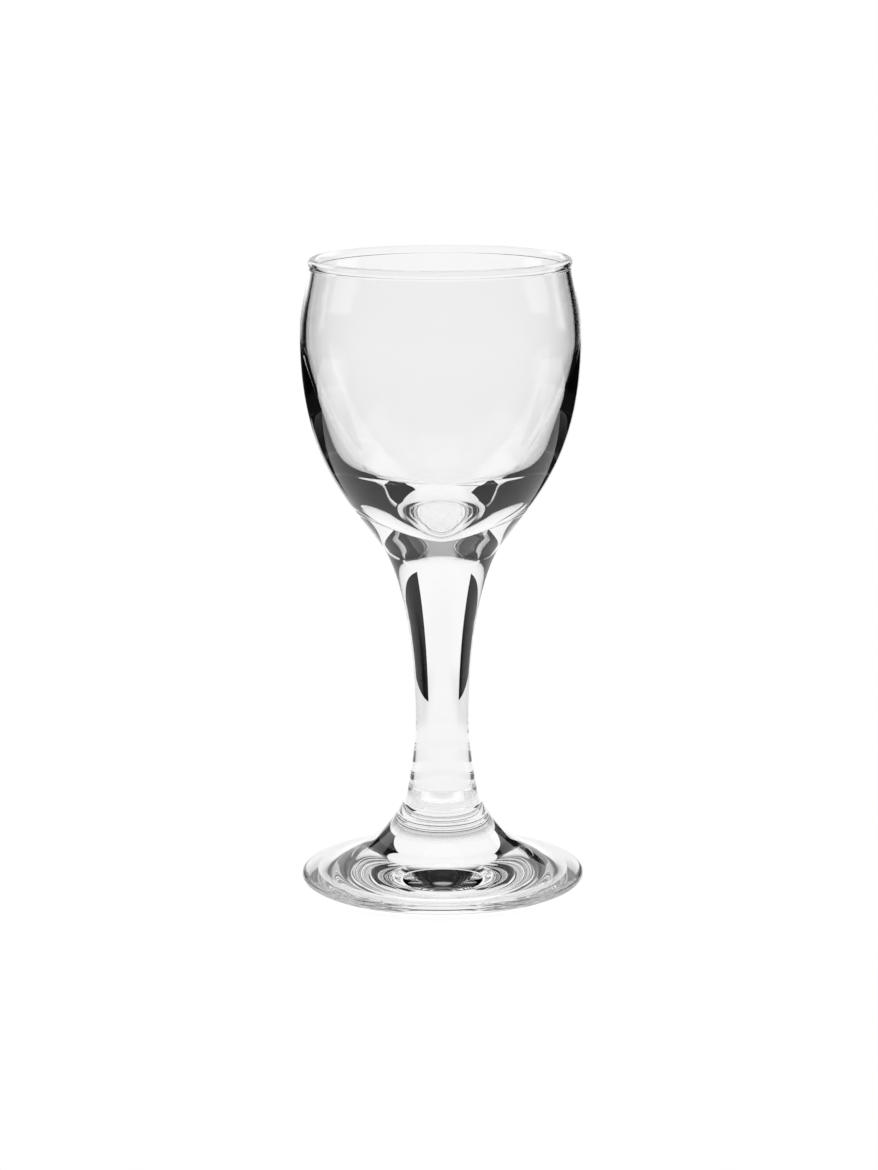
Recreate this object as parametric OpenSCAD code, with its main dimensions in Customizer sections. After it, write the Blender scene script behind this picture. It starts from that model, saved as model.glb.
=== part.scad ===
// Small sherry glass on a short flared stem: bowl, stem, collar and foot,
// each turned about the Z axis and welded face to face with the next.
// Millimetres, +Z up, origin at the centre of the ring it stands on.
// Angles of lean are measured from the vertical axis.
// A pull is the length of the handle that leads a curve out of its end.

/* [Stack of pieces] */
// Height of the foot, from the table to its weld with the collar
foot_h = 12.2; // [10:0.1:15]
// Height of the collar between foot and stem
collar_h = 1.9; // [1:0.1:4]
// Length of the stem between collar and bowl
stem_l = 47.3; // [40:0.1:60]
// Height of the bowl, from its weld with the stem to the rim
bowl_h = 50.6; // [46:0.1:60]

/* [Bowl outside] */
// Radius of the weld between bowl and stem
weld_r = 10.8; // [8:0.1:12]
// Lean of the wall at the weld, the same on bowl and stem
weld_lean = 35; // [28:0.1:42]
// Pull of the bowl's wall at the weld
bowl_base_pull = 9.5; // [6:0.1:15]
// Radius of the bowl at its belly, the widest place
belly_r = 24.7; // [22:0.1:28]
// Height of the belly above the weld
belly_up = 36.6; // [31:0.1:40]
// Pull of the wall below the belly
belly_pull_down = 21.5; // [12:0.5:24]
// Pull of the wall above the belly
belly_pull_up = 5.5; // [3:0.5:7]
// Outer radius of the rim's bead
rim_r = 23.15; // [21:0.05:24]
// Radius of the bead's round section
bead_r = 0.8; // [0.5:0.05:1.2]
// How far the bead wraps below its middle, in degrees
bead_wrap = 48; // [2:1:60]
// Lean of the wall below the bead
neck_lean = 8; // [4:0.5:14]
// Pull of the wall below the bead
neck_pull = 5.5; // [3:0.5:7]

/* [Bowl inside] */
// Thickness of the wall at the belly
belly_wall = 1.1; // [0.8:0.05:2]
// Pull of the inside below the belly
inside_pull = 10; // [4:0.1:14]
// Radius of the inside's shoulder, where wall turns into bottom
shoulder_r = 15.3; // [10:0.05:18]
// Height of the shoulder above the weld
shoulder_up = 13.6; // [9:0.1:17]
// Lean of the inside at the shoulder
shoulder_lean = 50; // [30:0.5:60]
// Pull of the inside above the shoulder
shoulder_pull_up = 3.8; // [2:0.1:9]
// Pull of the inside below the shoulder
shoulder_pull_down = 4.1; // [1:0.1:6]
// Thickness of the glass between the inside's bottom and the weld
floor_t = 4.2; // [1:0.1:7]
// Pull of the inside's rounded tip
floor_pull = 2.9; // [1:0.1:6]
// Lean of the inside below the bead
inside_neck_lean = 8.5; // [4:0.5:20]

/* [Stem] */
// Pull of the stem at the bowl
stem_top_pull = 6.6; // [4:0.1:14]
// Radius of the stem's waist
waist_r = 4.72; // [3.5:0.02:5.5]
// Height of the waist above the collar
waist_up = 14.9; // [11:0.1:18]
// Pull of the stem above the waist
waist_pull_up = 14; // [6:0.5:15]
// Pull of the stem below the waist
waist_pull_down = 4.2; // [2:0.1:5]
// Radius of the stem where it meets the collar
stem_base_r = 6.65; // [5.8:0.05:7]
// Lean of the stem where it meets the collar
stem_base_lean = 11.5; // [6:0.5:18]
// Pull of the stem at the collar
stem_base_pull = 4.8; // [2:0.1:6]

/* [Collar] */
// Radius of the collar's upper edge
collar_top_r = 7.1; // [7:0.05:7.6]
// Radius of the collar's lower edge
collar_base_r = 7.9; // [7.6:0.05:8.2]

/* [Foot] */
// Radius of the foot's top, under the collar
foot_top_r = 8.2; // [8.2:0.05:9]
// Lean of the foot's dome under the collar
foot_top_lean = 20; // [10:0.5:35]
// Pull of the dome under the collar
foot_top_pull = 4.6; // [3:0.1:6]
// Radius of the foot
foot_r = 25.35; // [23:0.05:29]
// Radius of the foot's rounded edge
foot_edge_r = 0.9; // [0.6:0.05:1.4]
// Angle on the rounded edge where the dome runs into it
foot_edge_angle = 81; // [70:0.5:86]
// Pull of the dome at the edge
foot_edge_pull = 6.5; // [3:0.1:10]
// Width of the flat ring that the foot stands on
ring_w = 2.4; // [1:0.1:4]
// Height of the hollow under the foot
hollow_h = 1.8; // [0.8:0.1:3]
// Lean of the hollow where it leaves the ring
hollow_lean = 80; // [70:0.5:86]
// Pull of the hollow at the ring
hollow_pull = 4; // [2:0.1:6]
// Pull of the hollow's flat middle
hollow_flat = 9; // [5:0.5:12]

/* [Hidden] */
// Straight steps along one curve of an outline
curve_steps = 12;
// Degrees of a round edge in one step
arc_step = 18;
// Facets of a full turn
$fn = 96;

// Heights of the three welds and of the rim
collar_z = foot_h;
stem_z = collar_z + collar_h;
bowl_z = stem_z + stem_l;
rim_z = bowl_z + bowl_h;

// Middle of the bead and the two ends of its round
bead_mid = [rim_r - bead_r, rim_z - bead_r];
bead_out = on_circle(bead_mid, bead_r, -bead_wrap);
bead_in = on_circle(bead_mid, bead_r, 180 + bead_wrap);
belly_z = bowl_z + belly_up;
floor_z = bowl_z + floor_t;
waist_z = stem_z + waist_up;

// Middle of the foot's rounded edge and the inner edge of the resting ring
edge_mid = [foot_r - foot_edge_r, foot_edge_r];
edge_top = on_circle(edge_mid, foot_edge_r, foot_edge_angle);
ring_in_r = edge_mid[0] - ring_w;

glass = [0.88, 0.92, 0.93, 0.45];

// Point on a circle, the angle counted from the radial direction upwards
function on_circle(middle, r, angle) = middle + r * [cos(angle), sin(angle)];

// Step of a given length upwards, leaning outwards by an angle
function up(length, lean) = length * [sin(lean), cos(lean)];

// Step of a given length downwards, leaning outwards by an angle
function down(length, lean) = length * [sin(lean), -cos(lean)];

// Cubic curve from a to d with handles b and c, without its last point
function curve(a, b, c, d) = [
    for (i = [0 : curve_steps - 1])
        let (t = i / curve_steps, s = 1 - t)
            s * s * s * a + 3 * s * s * t * b + 3 * s * t * t * c + t * t * t * d
];

// Round stretch between two angles, both ends and the middle included
function round_edge(middle, r, from, to) =
    let (steps = 2 * ceil(abs(to - from) / (2 * arc_step)))
        [for (i = [0 : steps]) on_circle(middle, r, from + (to - from) * i / steps)];

// Solid of revolution of an outline given as radius and height
module turned(outline) {
    color(glass)
        rotate_extrude()
            polygon(outline);
}

// Cup with a beaded rim, a belly and an inside that runs down to a blunt tip
module bowl() {
    weld = [weld_r, bowl_z];
    belly = [belly_r, belly_z];
    inside_belly = [belly_r - belly_wall, belly_z];
    shoulder = [shoulder_r, bowl_z + shoulder_up];
    inside_floor = [0, floor_z];
    turned(concat(
        [[0, bowl_z]],
        curve(weld, weld + up(bowl_base_pull, weld_lean), belly - [0, belly_pull_down], belly),
        curve(belly, belly + [0, belly_pull_up], bead_out + down(neck_pull, neck_lean), bead_out),
        round_edge(bead_mid, bead_r, -bead_wrap, 180 + bead_wrap),
        curve(
            bead_in,
            bead_in + down(neck_pull, inside_neck_lean),
            inside_belly + [0, belly_pull_up],
            inside_belly
        ),
        curve(
            inside_belly,
            inside_belly - [0, inside_pull],
            shoulder + up(shoulder_pull_up, shoulder_lean),
            shoulder
        ),
        curve(
            shoulder,
            shoulder - up(shoulder_pull_down, shoulder_lean),
            inside_floor + [floor_pull, 0],
            inside_floor
        ),
        [inside_floor]
    ));
}

// Solid stem, flared into the bowl and slightly into the collar
module stem() {
    base = [stem_base_r, stem_z];
    waist = [waist_r, waist_z];
    weld = [weld_r, bowl_z];
    turned(concat(
        [[0, stem_z]],
        curve(base, base - down(stem_base_pull, stem_base_lean), waist - [0, waist_pull_down], waist),
        curve(waist, waist + [0, waist_pull_up], weld - up(stem_top_pull, weld_lean), weld),
        [weld, [0, bowl_z]]
    ));
}

// Short cone that carries the stem on the foot
module collar() {
    turned([
        [0, collar_z],
        [collar_base_r, collar_z],
        [collar_top_r, stem_z],
        [0, stem_z]
    ]);
}

// Domed foot with a rounded edge, a flat resting ring and a shallow hollow
module foot() {
    top = [foot_top_r, collar_z];
    ring_in = [ring_in_r, 0];
    hollow_top = [0, hollow_h];
    turned(concat(
        [[0, collar_z]],
        curve(
            top,
            top + down(foot_top_pull, foot_top_lean),
            edge_top + foot_edge_pull * [-sin(foot_edge_angle), cos(foot_edge_angle)],
            edge_top
        ),
        round_edge(edge_mid, foot_edge_r, foot_edge_angle, -90),
        curve(
            ring_in,
            ring_in + hollow_pull * [-sin(hollow_lean), cos(hollow_lean)],
            hollow_top + [hollow_flat, 0],
            hollow_top
        ),
        [hollow_top]
    ));
}

bowl();
stem();
collar();
foot();
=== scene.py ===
"""Dresses a small sherry glass: bowl, stem, collar and foot of clear pressed glass in a white studio."""
import logging
import math
from dataclasses import dataclass
from enum import Enum
from typing import List, Sequence, Tuple, Union

import bmesh
import bpy
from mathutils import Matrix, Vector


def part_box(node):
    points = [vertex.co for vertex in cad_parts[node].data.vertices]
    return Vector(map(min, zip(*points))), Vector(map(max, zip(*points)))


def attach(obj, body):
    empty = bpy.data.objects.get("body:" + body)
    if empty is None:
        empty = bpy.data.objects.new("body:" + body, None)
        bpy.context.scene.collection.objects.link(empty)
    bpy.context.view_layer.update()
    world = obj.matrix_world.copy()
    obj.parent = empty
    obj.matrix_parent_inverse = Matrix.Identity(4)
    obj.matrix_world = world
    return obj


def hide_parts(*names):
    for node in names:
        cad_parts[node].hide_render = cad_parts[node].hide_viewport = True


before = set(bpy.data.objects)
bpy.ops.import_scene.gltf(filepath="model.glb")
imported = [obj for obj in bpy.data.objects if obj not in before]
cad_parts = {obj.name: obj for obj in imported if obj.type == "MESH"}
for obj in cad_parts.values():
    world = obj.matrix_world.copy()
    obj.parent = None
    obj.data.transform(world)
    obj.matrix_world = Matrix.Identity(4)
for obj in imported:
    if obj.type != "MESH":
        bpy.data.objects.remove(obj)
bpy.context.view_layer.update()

LOG = logging.getLogger("sherry_glass")
MM = 0.001
PHOTO_WIDTH = 878
PHOTO_HEIGHT = 1170
WHITE = (1.0, 1.0, 1.0, 1.0)

# A radius below this lies on the axis, where a ring shrinks to one vertex
ON_AXIS = 1e-7
# Steps of the flat stretches, which are the same on all the pieces
WELD_STEPS = 4
LEDGE_STEPS = 2
# How often a light path may pass through glass, and be reflected in it
PASSES = 32
REFLECTIONS = 16

Number = Union[float, bpy.types.NodeSocket]


class Face(Enum):
    """What a stretch of a turned piece's outline is: open glass or a fused weld."""

    GLASS = 0
    WELD = 1


@dataclass(frozen=True)
class Spot:
    """A point of an outline: radius and height in metres."""

    r: float
    z: float

    def step(self, length: float, lean: float) -> "Spot":
        """Point a length away, leaning outwards from straight up by an angle in degrees."""
        a = math.radians(lean)
        return Spot(self.r + length * math.sin(a), self.z + length * math.cos(a))

    def on_circle(self, radius: float, angle: float) -> "Spot":
        """Point on a circle round this one, the angle in degrees counted from outwards to up."""
        a = math.radians(angle)
        return Spot(self.r + radius * math.cos(a), self.z + radius * math.sin(a))


@dataclass
class Stroke:
    """One smooth stretch of an outline, with a crease at either end."""

    spots: List[Spot]
    face: Face = Face.GLASS

    @staticmethod
    def line(start: Spot, end: Spot, steps: int, face: Face = Face.GLASS) -> "Stroke":
        """Straight stretch.

        Args:
            start: Its first point.
            end: Its last point.
            steps: Number of equal steps.
            face: What the stretch is.

        Returns:
            The stretch.
        """
        r_step = end.r - start.r
        z_step = end.z - start.z
        return Stroke(
            [Spot(start.r + r_step * i / steps, start.z + z_step * i / steps) for i in range(steps + 1)],
            face,
        )

    @staticmethod
    def curve(a: Spot, b: Spot, c: Spot, d: Spot, steps: int) -> "Stroke":
        """Cubic stretch.

        Args:
            a: Its first point.
            b: Handle of the first point.
            c: Handle of the last point.
            d: Its last point.
            steps: Number of steps.

        Returns:
            The stretch.
        """
        spots = []
        for i in range(steps + 1):
            t = i / steps
            w = ((1 - t) ** 3, 3 * (1 - t) ** 2 * t, 3 * (1 - t) * t * t, t ** 3)
            spots.append(
                Spot(
                    w[0] * a.r + w[1] * b.r + w[2] * c.r + w[3] * d.r,
                    w[0] * a.z + w[1] * b.z + w[2] * c.z + w[3] * d.z,
                )
            )
        return Stroke(spots)

    @staticmethod
    def arc(middle: Spot, radius: float, start: float, end: float, steps: int) -> "Stroke":
        """Round stretch between two angles in degrees."""
        return Stroke([middle.on_circle(radius, start + (end - start) * i / steps) for i in range(steps + 1)])

    def joined(self, other: "Stroke") -> "Stroke":
        """This stretch and one that leads on from it without a crease."""
        return Stroke(self.spots + other.spots[1:], self.face)


@dataclass(frozen=True)
class Edge:
    """Soft edge of a light or a shade: nothing at start, all of it at end, which may be the lower of the two."""

    start: float
    end: float

    @staticmethod
    def rising(middle: float, soft: float) -> "Edge":
        """Edge of what lies above a value."""
        return Edge(middle - soft, middle + soft)

    @staticmethod
    def falling(middle: float, soft: float) -> "Edge":
        """Edge of what lies below a value."""
        return Edge(middle + soft, middle - soft)


class Graph:
    """Short hand for building a node tree."""

    def __init__(self, tree: bpy.types.NodeTree) -> None:
        """Empties the tree.

        Args:
            tree: The node tree of a material or a world.
        """
        self.tree = tree
        tree.nodes.clear()

    @staticmethod
    def of_material(name: str) -> Tuple[bpy.types.Material, "Graph"]:
        """Makes a material.

        Args:
            name: The material's name.

        Returns:
            The material and its empty node tree.
        """
        material = bpy.data.materials.new(name)
        material.use_nodes = True
        return material, Graph(material.node_tree)

    def add(self, kind: str, **settings: object) -> bpy.types.Node:
        """Makes a node.

        Args:
            kind: The node's type name.
            settings: Properties of the node.

        Returns:
            The new node.
        """
        node = self.tree.nodes.new(kind)
        for name, value in settings.items():
            setattr(node, name, value)
        return node

    def feed(self, socket: bpy.types.NodeSocket, value: object) -> None:
        """Links a socket to another, or sets its plain value.

        Args:
            socket: The socket to fill.
            value: A socket to link from, or a plain value.
        """
        if isinstance(value, bpy.types.NodeSocket):
            self.tree.links.new(value, socket)
        else:
            socket.default_value = value

    def shader(self, kind: str, **inputs: object) -> bpy.types.NodeSocket:
        """Makes a node with its sockets fed by name.

        Args:
            kind: The node's type name.
            inputs: Values or sockets by socket name, an underscore standing for a space.

        Returns:
            The node's first output.
        """
        node = self.add(kind)
        for name, value in inputs.items():
            self.feed(node.inputs[name.replace("_", " ")], value)
        return node.outputs[0]

    def math(self, operation: str, *values: Number) -> bpy.types.NodeSocket:
        """Makes a Math node.

        Args:
            operation: The node's operation.
            values: Its inputs, up to three.

        Returns:
            The result.
        """
        node = self.add("ShaderNodeMath", operation=operation)
        for socket, value in zip(node.inputs, values):
            self.feed(socket, value)
        return node.outputs[0]

    def ease(self, value: bpy.types.NodeSocket, edge: Edge) -> bpy.types.NodeSocket:
        """Makes a smooth step.

        Args:
            value: What is measured.
            edge: Where the step starts and ends.

        Returns:
            0 before the edge and 1 after it.
        """
        node = self.add("ShaderNodeMapRange", interpolation_type="SMOOTHSTEP", clamp=True)
        inputs = {"Value": value, "From Min": edge.start, "From Max": edge.end, "To Min": 0.0, "To Max": 1.0}
        for name, entry in inputs.items():
            self.feed(node.inputs[name], entry)
        return node.outputs["Result"]

    def parts(self, vector: bpy.types.NodeSocket) -> Tuple[bpy.types.NodeSocket, ...]:
        """The x, y and z parts of a vector."""
        split = self.add("ShaderNodeSeparateXYZ")
        self.feed(split.inputs[0], vector)
        return tuple(split.outputs)

    def glow(self, level: Number) -> bpy.types.NodeSocket:
        """White surface that shows at a given level, whatever light falls on it."""
        return self.shader("ShaderNodeEmission", Color=WHITE, Strength=level)

    def both(self, one: bpy.types.NodeSocket, other: bpy.types.NodeSocket) -> bpy.types.NodeSocket:
        """Sum of two shaders."""
        node = self.add("ShaderNodeAddShader")
        for socket, value in zip(node.inputs, (one, other)):
            self.feed(socket, value)
        return node.outputs[0]

    def mix(
        self, share: bpy.types.NodeSocket, one: bpy.types.NodeSocket, other: bpy.types.NodeSocket
    ) -> bpy.types.NodeSocket:
        """Mixes two shaders.

        Args:
            share: How much of the other one is taken.
            one: The shader at a share of 0.
            other: The shader at a share of 1.

        Returns:
            The mixed shader.
        """
        node = self.add("ShaderNodeMixShader")
        for socket, value in zip(node.inputs, (share, one, other)):
            self.feed(socket, value)
        return node.outputs[0]

    def end(self, surface: bpy.types.NodeSocket, kind: str = "ShaderNodeOutputMaterial") -> None:
        """Makes a shader the surface of the material or the world."""
        self.feed(self.add(kind).inputs["Surface"], surface)


class Rays:
    """Kinds of light path that the surroundings of the glass tell apart."""

    # Between one whole count and the next
    HALF: float = 0.5

    def __init__(self, graph: Graph) -> None:
        """Adds the light path to a tree.

        Args:
            graph: The node tree that asks.
        """
        self.graph = graph
        self.path = graph.add("ShaderNodeLightPath").outputs
        self.camera = self.path["Is Camera Ray"]

    def in_glass(self) -> bpy.types.NodeSocket:
        """1 for what glass shows, by a reflection or through it."""
        return self.graph.math("MAXIMUM", self.path["Is Glossy Ray"], self.path["Is Transmission Ray"])

    def turned(self) -> bpy.types.NodeSocket:
        """1 for a path that was reflected on its way."""
        return self.graph.math("GREATER_THAN", self.path["Glossy Depth"], self.HALF)

    def unturned(self) -> bpy.types.NodeSocket:
        """1 for a path that was never reflected."""
        return self.graph.math("LESS_THAN", self.path["Glossy Depth"], self.HALF)

    def straight(self) -> bpy.types.NodeSocket:
        """1 for a path that only passed through glass."""
        return self.graph.math("MULTIPLY", self.path["Is Transmission Ray"], self.unturned())

    def past_faces(self, count: int) -> bpy.types.NodeSocket:
        """1 for an unreflected path that passed more than a number of faces of glass."""
        passed = self.graph.math("GREATER_THAN", self.path["Transmission Depth"], count + self.HALF)
        return self.graph.math("MULTIPLY", self.unturned(), passed)


@dataclass(frozen=True)
class ClearGlass:
    """Colourless pressed glass with the faint ripple of a fire-polished surface."""

    name: str
    tint: Tuple[float, float, float] = (0.994, 0.997, 0.996)
    ior: float = 1.50
    haze: float = 0.004
    ripple_size: float = 9.0 * MM
    ripple_detail: float = 1.0
    ripple_depth: float = 0.012 * MM
    cloud_size: float = 45.0 * MM

    def make(self) -> bpy.types.Material:
        """Builds the material.

        Returns:
            A glass whose tint, haze and ripple vary slightly over the surface.
        """
        material, graph = Graph.of_material(self.name)
        place = graph.add("ShaderNodeTexCoord").outputs["Object"]

        ripple = graph.add("ShaderNodeTexNoise", noise_dimensions="3D")
        graph.feed(ripple.inputs["Vector"], place)
        ripple.inputs["Scale"].default_value = 1.0 / self.ripple_size
        ripple.inputs["Detail"].default_value = self.ripple_detail
        height = ripple.outputs["Fac"]
        bump = graph.shader("ShaderNodeBump", Strength=1.0, Distance=self.ripple_depth, Height=height)

        cloud = graph.add("ShaderNodeTexNoise", noise_dimensions="3D")
        graph.feed(cloud.inputs["Vector"], place)
        cloud.inputs["Scale"].default_value = 1.0 / self.cloud_size
        tone = graph.add("ShaderNodeMix", data_type="RGBA")
        graph.feed(tone.inputs["Factor"], cloud.outputs["Fac"])
        tone.inputs["A"].default_value = (*self.tint, 1.0)
        tone.inputs["B"].default_value = WHITE
        haze = graph.math("MULTIPLY", cloud.outputs["Fac"], self.haze)

        glass = graph.shader(
            "ShaderNodeBsdfPrincipled",
            Base_Color=tone.outputs[2],
            Roughness=haze,
            Normal=bump,
            IOR=self.ior,
            Transmission_Weight=1.0,
        )
        graph.end(glass)
        return material


@dataclass(frozen=True)
class FusedWeld:
    """Faces where two pieces are melted together, so that no surface is left to see."""

    name: str = "fused_weld"

    def make(self) -> bpy.types.Material:
        """Builds the material.

        Returns:
            A material that lets light pass straight on.
        """
        material, graph = Graph.of_material(self.name)
        graph.end(graph.shader("ShaderNodeBsdfTransparent"))
        return material


@dataclass
class Turned:
    """A piece turned about the axis of the glass, standing for one node of the frame."""

    node: str
    slot: str
    turns: int

    def outline(self) -> List[Stroke]:
        """Closed outline from the axis to the axis, counter-clockwise in radius and height."""
        raise NotImplementedError

    def build(self) -> bpy.types.Object:
        """Turns the outline into a closed mesh.

        Returns:
            The new object, smooth along each stroke and creased between strokes.
        """
        mesh = bpy.data.meshes.new(self.node + "_turned")
        shape = bmesh.new()
        strokes = self.outline()
        inner = self.ring(shape, strokes[0].spots[0])
        creased = False
        for stroke in strokes:
            for spot in stroke.spots[1:]:
                outer = self.ring(shape, spot)
                self.band(shape, inner, outer, stroke.face, creased)
                inner = outer
                creased = False
            creased = True
        bmesh.ops.recalc_face_normals(shape, faces=shape.faces)
        shape.to_mesh(mesh)
        shape.free()
        return bpy.data.objects.new(self.node + "_turned", mesh)

    def ring(self, shape: bmesh.types.BMesh, spot: Spot) -> List[bmesh.types.BMVert]:
        """Makes one ring of vertices.

        Args:
            shape: The mesh being made.
            spot: The point of the outline that is turned.

        Returns:
            The ring, or a single vertex on the axis.
        """
        if spot.r < ON_AXIS:
            return [shape.verts.new((0.0, 0.0, spot.z))]
        turn = 2 * math.pi / self.turns
        return [
            shape.verts.new((spot.r * math.cos(turn * i), spot.r * math.sin(turn * i), spot.z))
            for i in range(self.turns)
        ]

    def band(
        self,
        shape: bmesh.types.BMesh,
        inner: Sequence[bmesh.types.BMVert],
        outer: Sequence[bmesh.types.BMVert],
        face: Face,
        creased: bool,
    ) -> None:
        """Makes the faces between two rings.

        Args:
            shape: The mesh being made.
            inner: The ring nearer the outline's start.
            outer: The next ring.
            face: What the stretch is.
            creased: Whether the edges of the inner ring are sharp.
        """
        for i in range(self.turns):
            j = (i + 1) % self.turns
            if len(inner) == 1:
                made = shape.faces.new((inner[0], outer[i], outer[j]))
            elif len(outer) == 1:
                made = shape.faces.new((inner[i], outer[0], inner[j]))
            else:
                made = shape.faces.new((inner[i], outer[i], outer[j], inner[j]))
            made.smooth = True
            made.material_index = face.value
            if creased:
                shape.edges.get((inner[i], inner[j])).smooth = False

    def dress(self, piece: bpy.types.Object, glass: bpy.types.Material, weld: bpy.types.Material) -> None:
        """Gives the piece its finish and puts it in the frame in place of its node.

        Args:
            piece: The turned piece.
            glass: Finish of its open faces.
            weld: Finish of its welds.
        """
        piece.data.materials.append(glass)
        piece.data.materials.append(weld)
        bpy.context.scene.collection.objects.link(piece)
        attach(piece, "root")
        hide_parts(self.node)


@dataclass
class Bowl(Turned):
    """Tulip cup with a beaded rim, a thin wall and a thick bottom with a blunt inside tip."""

    node: str = "bowl"
    slot: str = "bowl_glass"
    turns: int = 384
    wall_steps: int = 72
    neck_steps: int = 28
    bead_steps: int = 28
    inside_steps: int = 48
    weld_r: float = 10.8 * MM
    weld_lean: float = 35.0
    base_pull: float = 9.5 * MM
    belly_r: float = 24.7 * MM
    belly_up: float = 36.6 * MM
    belly_pull_down: float = 21.5 * MM
    belly_pull_up: float = 5.5 * MM
    rim_r: float = 23.15 * MM
    bead_r: float = 0.8 * MM
    bead_wrap: float = 48.0
    neck_lean: float = 8.0
    neck_pull: float = 5.5 * MM
    belly_wall: float = 1.1 * MM
    inside_pull: float = 10.0 * MM
    shoulder_r: float = 15.3 * MM
    shoulder_up: float = 13.6 * MM
    shoulder_lean: float = 50.0
    shoulder_pull_up: float = 3.8 * MM
    shoulder_pull_down: float = 4.1 * MM
    floor_t: float = 4.2 * MM
    floor_pull: float = 2.9 * MM
    inside_neck_lean: float = 8.5

    def outline(self) -> List[Stroke]:
        """Weld, outside, rim and inside of the bowl.

        Returns:
            The strokes, of which all but the weld run on without a crease.
        """
        low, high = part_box(self.node)
        weld = Spot(self.weld_r, low.z)
        belly = Spot(self.belly_r, low.z + self.belly_up)
        inner = Spot(self.belly_r - self.belly_wall, belly.z)
        shoulder = Spot(self.shoulder_r, low.z + self.shoulder_up)
        floor = Spot(0.0, low.z + self.floor_t)
        bead = Spot(self.rim_r - self.bead_r, high.z - self.bead_r)
        bead_start = -self.bead_wrap
        bead_end = 180.0 + self.bead_wrap
        bead_out = bead.on_circle(self.bead_r, bead_start)
        bead_in = bead.on_circle(self.bead_r, bead_end)
        wall = Stroke.curve(
            weld,
            weld.step(self.base_pull, self.weld_lean),
            Spot(belly.r, belly.z - self.belly_pull_down),
            belly,
            self.wall_steps,
        )
        neck = Stroke.curve(
            belly,
            Spot(belly.r, belly.z + self.belly_pull_up),
            bead_out.step(-self.neck_pull, -self.neck_lean),
            bead_out,
            self.neck_steps,
        )
        rim = Stroke.arc(bead, self.bead_r, bead_start, bead_end, self.bead_steps)
        inside_neck = Stroke.curve(
            bead_in,
            bead_in.step(-self.neck_pull, -self.inside_neck_lean),
            Spot(inner.r, inner.z + self.belly_pull_up),
            inner,
            self.neck_steps,
        )
        inside_wall = Stroke.curve(
            inner,
            Spot(inner.r, inner.z - self.inside_pull),
            shoulder.step(self.shoulder_pull_up, self.shoulder_lean),
            shoulder,
            self.inside_steps,
        )
        bottom = Stroke.curve(
            shoulder,
            shoulder.step(-self.shoulder_pull_down, self.shoulder_lean),
            Spot(self.floor_pull, floor.z),
            floor,
            self.inside_steps,
        )
        glass = wall
        for stroke in (neck, rim, inside_neck, inside_wall, bottom):
            glass = glass.joined(stroke)
        return [Stroke.line(Spot(0.0, low.z), weld, WELD_STEPS, Face.WELD), glass]


@dataclass
class Stem(Turned):
    """Solid stem, flared into the bowl and a little into the collar."""

    node: str = "stem"
    slot: str = "stem_glass"
    turns: int = 160
    lower_steps: int = 128
    upper_steps: int = 192
    weld_r: float = 10.8 * MM
    weld_lean: float = 35.0
    top_pull: float = 6.6 * MM
    waist_r: float = 4.72 * MM
    waist_up: float = 14.9 * MM
    waist_pull_up: float = 14.0 * MM
    waist_pull_down: float = 4.2 * MM
    base_r: float = 6.65 * MM
    base_lean: float = 11.5
    base_pull: float = 4.8 * MM

    def outline(self) -> List[Stroke]:
        """Lower weld, side and upper weld of the stem.

        Returns:
            The three strokes.
        """
        low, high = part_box(self.node)
        base = Spot(self.base_r, low.z)
        waist = Spot(self.waist_r, low.z + self.waist_up)
        weld = Spot(self.weld_r, high.z)
        lower = Stroke.curve(
            base,
            base.step(self.base_pull, -self.base_lean),
            Spot(waist.r, waist.z - self.waist_pull_down),
            waist,
            self.lower_steps,
        )
        upper = Stroke.curve(
            waist,
            Spot(waist.r, waist.z + self.waist_pull_up),
            weld.step(-self.top_pull, self.weld_lean),
            weld,
            self.upper_steps,
        )
        return [
            Stroke.line(Spot(0.0, low.z), base, WELD_STEPS, Face.WELD),
            lower.joined(upper),
            Stroke.line(weld, Spot(0.0, high.z), WELD_STEPS, Face.WELD),
        ]


@dataclass
class Collar(Turned):
    """Short cone that carries the stem on the foot."""

    node: str = "collar"
    slot: str = "collar_glass"
    turns: int = 160
    side_steps: int = 8
    top_r: float = 7.1 * MM
    base_r: float = 7.9 * MM
    stem_r: float = 6.65 * MM

    def outline(self) -> List[Stroke]:
        """Lower weld, side, ledge and upper weld of the collar.

        Returns:
            The four strokes.
        """
        low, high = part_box(self.node)
        base = Spot(self.base_r, low.z)
        top = Spot(self.top_r, high.z)
        seat = Spot(self.stem_r, high.z)
        return [
            Stroke.line(Spot(0.0, low.z), base, WELD_STEPS, Face.WELD),
            Stroke.line(base, top, self.side_steps),
            Stroke.line(top, seat, LEDGE_STEPS),
            Stroke.line(seat, Spot(0.0, high.z), WELD_STEPS, Face.WELD),
        ]


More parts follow.
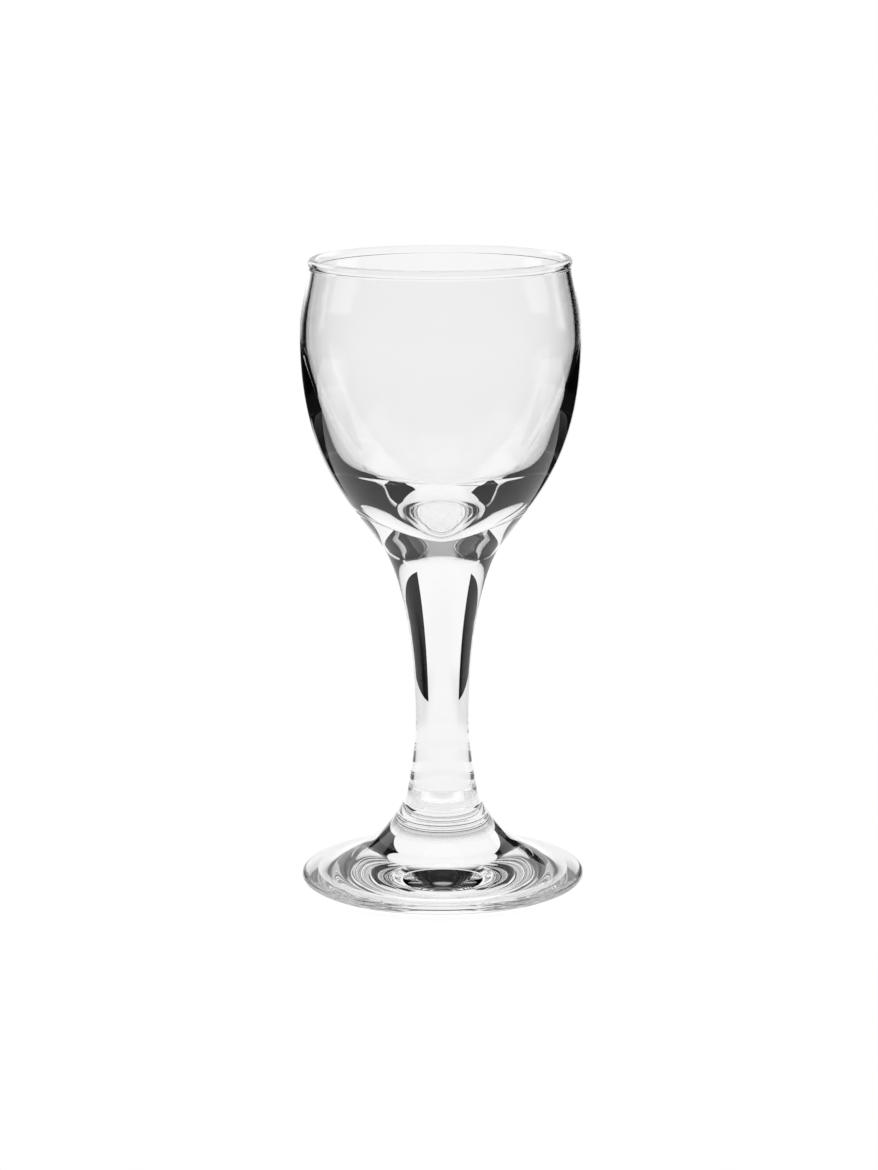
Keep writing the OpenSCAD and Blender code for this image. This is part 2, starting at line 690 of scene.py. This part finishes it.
@dataclass
class Foot(Turned):
    """Domed foot with a rounded edge, a flat resting ring and a shallow hollow."""

    node: str = "foot"
    slot: str = "foot_glass"
    turns: int = 256
    hollow_steps: int = 48
    ring_steps: int = 3
    edge_steps: int = 24
    dome_steps: int = 96
    collar_r: float = 7.9 * MM
    top_r: float = 8.2 * MM
    top_lean: float = 20.0
    top_pull: float = 4.6 * MM
    foot_r: float = 25.35 * MM
    edge_r: float = 0.9 * MM
    edge_angle: float = 81.0
    edge_pull: float = 6.5 * MM
    ring_w: float = 2.4 * MM
    hollow_h: float = 1.8 * MM
    hollow_lean: float = 80.0
    hollow_pull: float = 4.0 * MM
    hollow_flat: float = 9.0 * MM

    def outline(self) -> List[Stroke]:
        """Hollow, resting ring, edge with dome, ledge and weld of the foot.

        Returns:
            The five strokes.
        """
        low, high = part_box(self.node)
        middle = Spot(self.foot_r - self.edge_r, low.z + self.edge_r)
        edge_top = middle.on_circle(self.edge_r, self.edge_angle)
        ring_out = Spot(middle.r, low.z)
        ring_in = Spot(middle.r - self.ring_w, low.z)
        hollow_top = Spot(0.0, low.z + self.hollow_h)
        top = Spot(self.top_r, high.z)
        seat = Spot(self.collar_r, high.z)
        hollow = Stroke.curve(
            hollow_top,
            Spot(self.hollow_flat, hollow_top.z),
            ring_in.step(self.hollow_pull, -self.hollow_lean),
            ring_in,
            self.hollow_steps,
        )
        edge = Stroke.arc(middle, self.edge_r, -90.0, self.edge_angle, self.edge_steps)
        dome = Stroke.curve(
            edge_top,
            edge_top.step(self.edge_pull, -self.edge_angle),
            top.step(-self.top_pull, -self.top_lean),
            top,
            self.dome_steps,
        )
        return [
            hollow,
            Stroke.line(ring_in, ring_out, self.ring_steps),
            edge.joined(dome),
            Stroke.line(top, seat, LEDGE_STEPS),
            Stroke.line(seat, Spot(0.0, high.z), WELD_STEPS, Face.WELD),
        ]


@dataclass(frozen=True)
class Board:
    """White board behind the glass, its edges given as angles in degrees that the glass sees.

    The lower and the upper edge are straight, so their angles hold square on to the board.
    """

    half_width: float = 66.0
    side_soft: float = 6.0
    bottom: float = -6.0
    top: float = 48.0
    edge_soft: float = 2.0

    def level(
        self, graph: Graph, compass: bpy.types.NodeSocket, z: bpy.types.NodeSocket
    ) -> bpy.types.NodeSocket:
        """Light of the board.

        Args:
            graph: The world's nodes.
            compass: Angle round the glass from straight behind it, in degrees.
            z: Upward part of the direction.

        Returns:
            1 inside the board's outline, 0 elsewhere.
        """
        level_part = graph.math("SQRT", graph.math("SUBTRACT", 1.0, graph.math("MULTIPLY", z, z)))
        square_on = graph.math("MULTIPLY", level_part, graph.math("COSINE", graph.math("RADIANS", compass)))
        rise = graph.math("DEGREES", graph.math("ARCTAN2", z, square_on))
        across = graph.ease(graph.math("ABSOLUTE", compass), Edge.falling(self.half_width, self.side_soft))
        under_top = graph.ease(rise, Edge.falling(self.top, self.edge_soft))
        over_bottom = graph.ease(rise, Edge.rising(self.bottom, self.edge_soft))
        return graph.math("MULTIPLY", across, graph.math("MULTIPLY", under_top, over_bottom))


@dataclass(frozen=True)
class Room:
    """Surroundings of the glass, painted on the world by direction.

    The camera, and a path that only passed through glass, meets plain white. A reflected path meets a white board
    behind the glass, a dim light overhead and a dark room, which is darkest where the camera stands. Below the
    horizon it meets what lies past the table: a white sheet of limited width behind, a faint light in front.
    Directions run from -1 to 1, angles are in degrees from straight behind the glass.
    """

    board: Board = Board()
    dark: float = 0.02
    camera_dark: float = 0.006
    camera_edge: Edge = Edge(-0.50, -0.85)
    overhead: float = 0.4
    overhead_edge: Edge = Edge(0.95, 0.975)
    sheet_aim: float = 5.5
    sheet_turn: float = 16.5
    sheet_soft: float = 3.0
    front_light: float = 0.10
    front_edge: Edge = Edge(0.05, -0.35)
    horizon: Edge = Edge(0.0, -0.03)

    def light(self) -> None:
        """Paints the world."""
        world = bpy.data.worlds.new("studio")
        world.use_nodes = True
        bpy.context.scene.world = world
        graph = Graph(world.node_tree)
        x, y, z = graph.parts(graph.add("ShaderNodeTexCoord").outputs["Generated"])
        compass = graph.math("DEGREES", graph.math("ARCTAN2", x, y))
        rays = Rays(graph)
        level = graph.math("MULTIPLY_ADD", graph.ease(y, self.camera_edge), self.camera_dark - self.dark, self.dark)
        for light in (
            self.board.level(graph, compass, z),
            graph.math("MULTIPLY", graph.ease(z, self.overhead_edge), self.overhead),
            self.past_table(graph, compass, y, z),
            rays.straight(),
            rays.camera,
        ):
            level = graph.math("MAXIMUM", level, light)
        graph.end(graph.shader("ShaderNodeBackground", Color=WHITE, Strength=level), "ShaderNodeOutputWorld")

    def past_table(
        self, graph: Graph, compass: bpy.types.NodeSocket, y: bpy.types.NodeSocket, z: bpy.types.NodeSocket
    ) -> bpy.types.NodeSocket:
        """Light from below the horizon.

        Args:
            graph: The world's nodes.
            compass: Angle round the glass from straight behind it, in degrees.
            y: Part of the direction that leads away from the camera.
            z: Upward part of the direction.

        Returns:
            The sheet and the faint light in front, 0 above the horizon.
        """
        off_middle = graph.math("ABSOLUTE", graph.math("SUBTRACT", compass, self.sheet_aim))
        sheet = graph.ease(off_middle, Edge.falling(self.sheet_turn, self.sheet_soft))
        front = graph.math("MULTIPLY", graph.ease(y, self.front_edge), self.front_light)
        return graph.math("MULTIPLY", graph.math("MAXIMUM", sheet, front), graph.ease(z, self.horizon))


@dataclass(frozen=True)
class TableWhite:
    """Matt white that takes the glass's faint shadow and turns to plain white further out.

    In the glass the white carries painted shade: a little darker near by and at the sides, with a painted shadow of
    the foot in a ring under it. To a reflected path the table is dark in front of the glass and abreast of it,
    where the white sheet ends.
    """

    name: str = "table_white"
    albedo: float = 0.80
    glow: float = 0.87
    plain_edge: Edge = Edge(60.0 * MM, 150.0 * MM)
    in_glass: float = 0.80
    side_shade: float = 0.16
    side_edge: Edge = Edge(30.0 * MM, 80.0 * MM)
    side_depth: Edge = Edge(330.0 * MM, 130.0 * MM)
    # Painted shadow of the foot, seen in the glass: its level and the soft inner and outer edges of its ring
    foot_shadow: float = 0.40
    foot_shadow_inner: Edge = Edge(17.0 * MM, 21.0 * MM)
    foot_shadow_outer: Edge = Edge(27.0 * MM, 23.0 * MM)
    off_sheet: float = 0.03
    front_edge: Edge = Edge(-35.0 * MM, -85.0 * MM)
    sheet_side: Edge = Edge.rising(100.0 * MM, 12.0 * MM)
    sheet_start: Edge = Edge.falling(0.0, 20.0 * MM)

    def make(self) -> bpy.types.Material:
        """Builds the material.

        Returns:
            The table's finish.
        """
        material, graph = Graph.of_material(self.name)
        place = graph.add("ShaderNodeTexCoord").outputs["Object"]
        length = graph.add("ShaderNodeVectorMath", operation="LENGTH")
        graph.feed(length.inputs[0], place)
        reach = length.outputs["Value"]
        x, y, _ = graph.parts(place)
        off_axis = graph.math("ABSOLUTE", x)

        # painted shade: the table seen in the glass is darker at the sides, fading out further back
        aside = graph.math("MULTIPLY", graph.ease(off_axis, self.side_edge), graph.ease(y, self.side_depth))
        # painted shadow: a ring of darker white on the table under the foot's edge
        ring = graph.math("MULTIPLY", graph.ease(reach, self.foot_shadow_inner), graph.ease(reach, self.foot_shadow_outer))
        # painted shade: in the glass the table is darker near by than further out
        near = graph.math("MULTIPLY_ADD", aside, -self.side_shade, self.in_glass)
        near = graph.math("MULTIPLY_ADD", ring, self.foot_shadow - self.in_glass, near)
        far = graph.math("MULTIPLY_ADD", aside, -self.side_shade, 1.0)

        rays = Rays(graph)
        in_glass = rays.in_glass()
        near_glow = graph.math("MULTIPLY_ADD", in_glass, near, graph.math("MULTIPLY", rays.camera, self.glow))
        far_glow = graph.math("MULTIPLY_ADD", in_glass, far, rays.camera)
        matt = graph.shader("ShaderNodeBsdfDiffuse", Color=(self.albedo,) * 3 + (1.0,))
        shaded = graph.both(matt, graph.glow(near_glow))
        white = graph.mix(graph.ease(reach, self.plain_edge), shaded, graph.glow(far_glow))

        ahead = graph.ease(y, self.front_edge)
        abreast = graph.math("MULTIPLY", graph.ease(off_axis, self.sheet_side), graph.ease(y, self.sheet_start))
        dark_part = graph.math("MULTIPLY", rays.turned(), graph.math("MAXIMUM", ahead, abreast))
        graph.end(graph.mix(dark_part, white, graph.glow(self.off_sheet)))
        return material


@dataclass(frozen=True)
class Table:
    """Round table top a hair below the foot."""

    finish: TableWhite = TableWhite()
    radius: float = 380.0 * MM
    drop: float = 0.02 * MM
    segments: int = 128

    def build(self) -> bpy.types.Object:
        """Makes the table.

        Returns:
            The table.
        """
        mesh = bpy.data.meshes.new("table")
        shape = bmesh.new()
        bmesh.ops.create_circle(shape, cap_ends=True, segments=self.segments, radius=self.radius)
        shape.to_mesh(mesh)
        shape.free()
        table = bpy.data.objects.new("table", mesh)
        table.location.z = -self.drop
        bpy.context.scene.collection.objects.link(table)
        mesh.materials.append(self.finish.make())
        return table


@dataclass(frozen=True)
class CardBlack:
    """Black card with painted light: it glows white where it is seen through both walls of the bowl."""

    name: str = "card_black"
    level: float = 0.006
    solid_faces: int = 2

    def make(self) -> bpy.types.Material:
        """Builds the material.

        Returns:
            The cards' finish.
        """
        material, graph = Graph.of_material(self.name)
        # painted light: the card glows white to a path that passed both walls of the bowl
        painted_light_through_bowl = Rays(graph).past_faces(self.solid_faces)
        graph.end(graph.glow(graph.math("MULTIPLY_ADD", painted_light_through_bowl, 1.0 - self.level, self.level)))
        return material


@dataclass(frozen=True)
class Card:
    """Card that stands on the table behind the glass, leans back, and draws a dark streak into the stem."""

    near_x: float
    far_x: float
    behind: float
    height: float = 180.0 * MM
    back: float = 2.7

    def build(self, name: str, finish: bpy.types.Material) -> bpy.types.Object:
        """Makes the card, which shows in the glass and not to the camera.

        Args:
            name: Name of the object.
            finish: The card's material.

        Returns:
            The card.
        """
        corners = (
            (self.near_x, self.behind, 0.0),
            (self.far_x, self.behind, 0.0),
            (self.far_x * self.back, self.behind * self.back, self.height),
            (self.near_x * self.back, self.behind * self.back, self.height),
        )
        mesh = bpy.data.meshes.new(name)
        mesh.from_pydata(corners, [], [(0, 1, 2, 3)])
        mesh.materials.append(finish)
        card = bpy.data.objects.new(name, mesh)
        card.visible_camera = False
        bpy.context.scene.collection.objects.link(card)
        return card


@dataclass(frozen=True)
class Studio:
    """White room and table, with two black cards behind the glass."""

    room: Room = Room()
    table: Table = Table()
    card_finish: CardBlack = CardBlack()
    cards: Tuple[Card, ...] = (
        Card(-75.0 * MM, -300.0 * MM, 146.0 * MM),
        Card(57.0 * MM, 250.0 * MM, 150.0 * MM),
    )

    def build(self) -> None:
        """Paints the room, and sets up the table and the cards."""
        self.room.light()
        self.table.build()
        black = self.card_finish.make()
        for number, card in enumerate(self.cards):
            card.build("card_%d" % number, black)


@dataclass(frozen=True)
class View:
    """Camera at the photograph's place: lengths in metres, angles in degrees, px for the photograph's pixels."""

    distance: float = 585.0 * MM
    height: float = 172.15 * MM
    pitch: float = 11.45
    roll: float = 0.24
    focal_px: float = 3354.0
    axis_px: float = 441.6
    sensor_mm: float = 36.0
    clip_start: float = 0.01
    clip_end: float = 100.0

    def place(self) -> bpy.types.Object:
        """Makes the camera and sets it on the scene.

        Returns:
            The camera object.
        """
        data = bpy.data.cameras.new("view")
        data.sensor_width = self.sensor_mm
        data.lens = self.focal_px * self.sensor_mm / PHOTO_HEIGHT
        data.clip_start = self.clip_start
        data.clip_end = self.clip_end
        camera = bpy.data.objects.new("view", data)
        aside = (self.axis_px - PHOTO_WIDTH / 2) / self.focal_px * self.distance
        camera.location = (-aside, -self.distance, self.height)
        camera.rotation_mode = "ZYX"
        camera.rotation_euler = (math.radians(90.0 - self.pitch), 0.0, math.radians(-self.roll))
        bpy.context.scene.collection.objects.link(camera)
        bpy.context.scene.camera = camera
        return camera


def set_light_paths(scene: bpy.types.Scene) -> None:
    """Sets the view transform, and lets light pass all the walls of the glass before a path ends.

    Args:
        scene: The scene that is rendered.
    """
    scene.view_settings.view_transform = "Standard"
    scene.cycles.max_bounces = PASSES
    scene.cycles.transmission_bounces = PASSES
    scene.cycles.transparent_max_bounces = PASSES
    scene.cycles.glossy_bounces = REFLECTIONS


def main() -> None:
    """Builds the stage and the four pieces of the glass in order."""
    logging.basicConfig(level=logging.INFO, format="%(name)s: %(message)s")
    set_light_paths(bpy.context.scene)
    View().place()
    Studio().build()
    weld = FusedWeld().make()
    for part in (Bowl(), Stem(), Collar(), Foot()):
        piece = part.build()
        part.dress(piece, ClearGlass(part.slot + "_clear").make(), weld)
        LOG.info("%s: %d faces", part.node, len(piece.data.polygons))


if __name__ == "__main__":
    main()
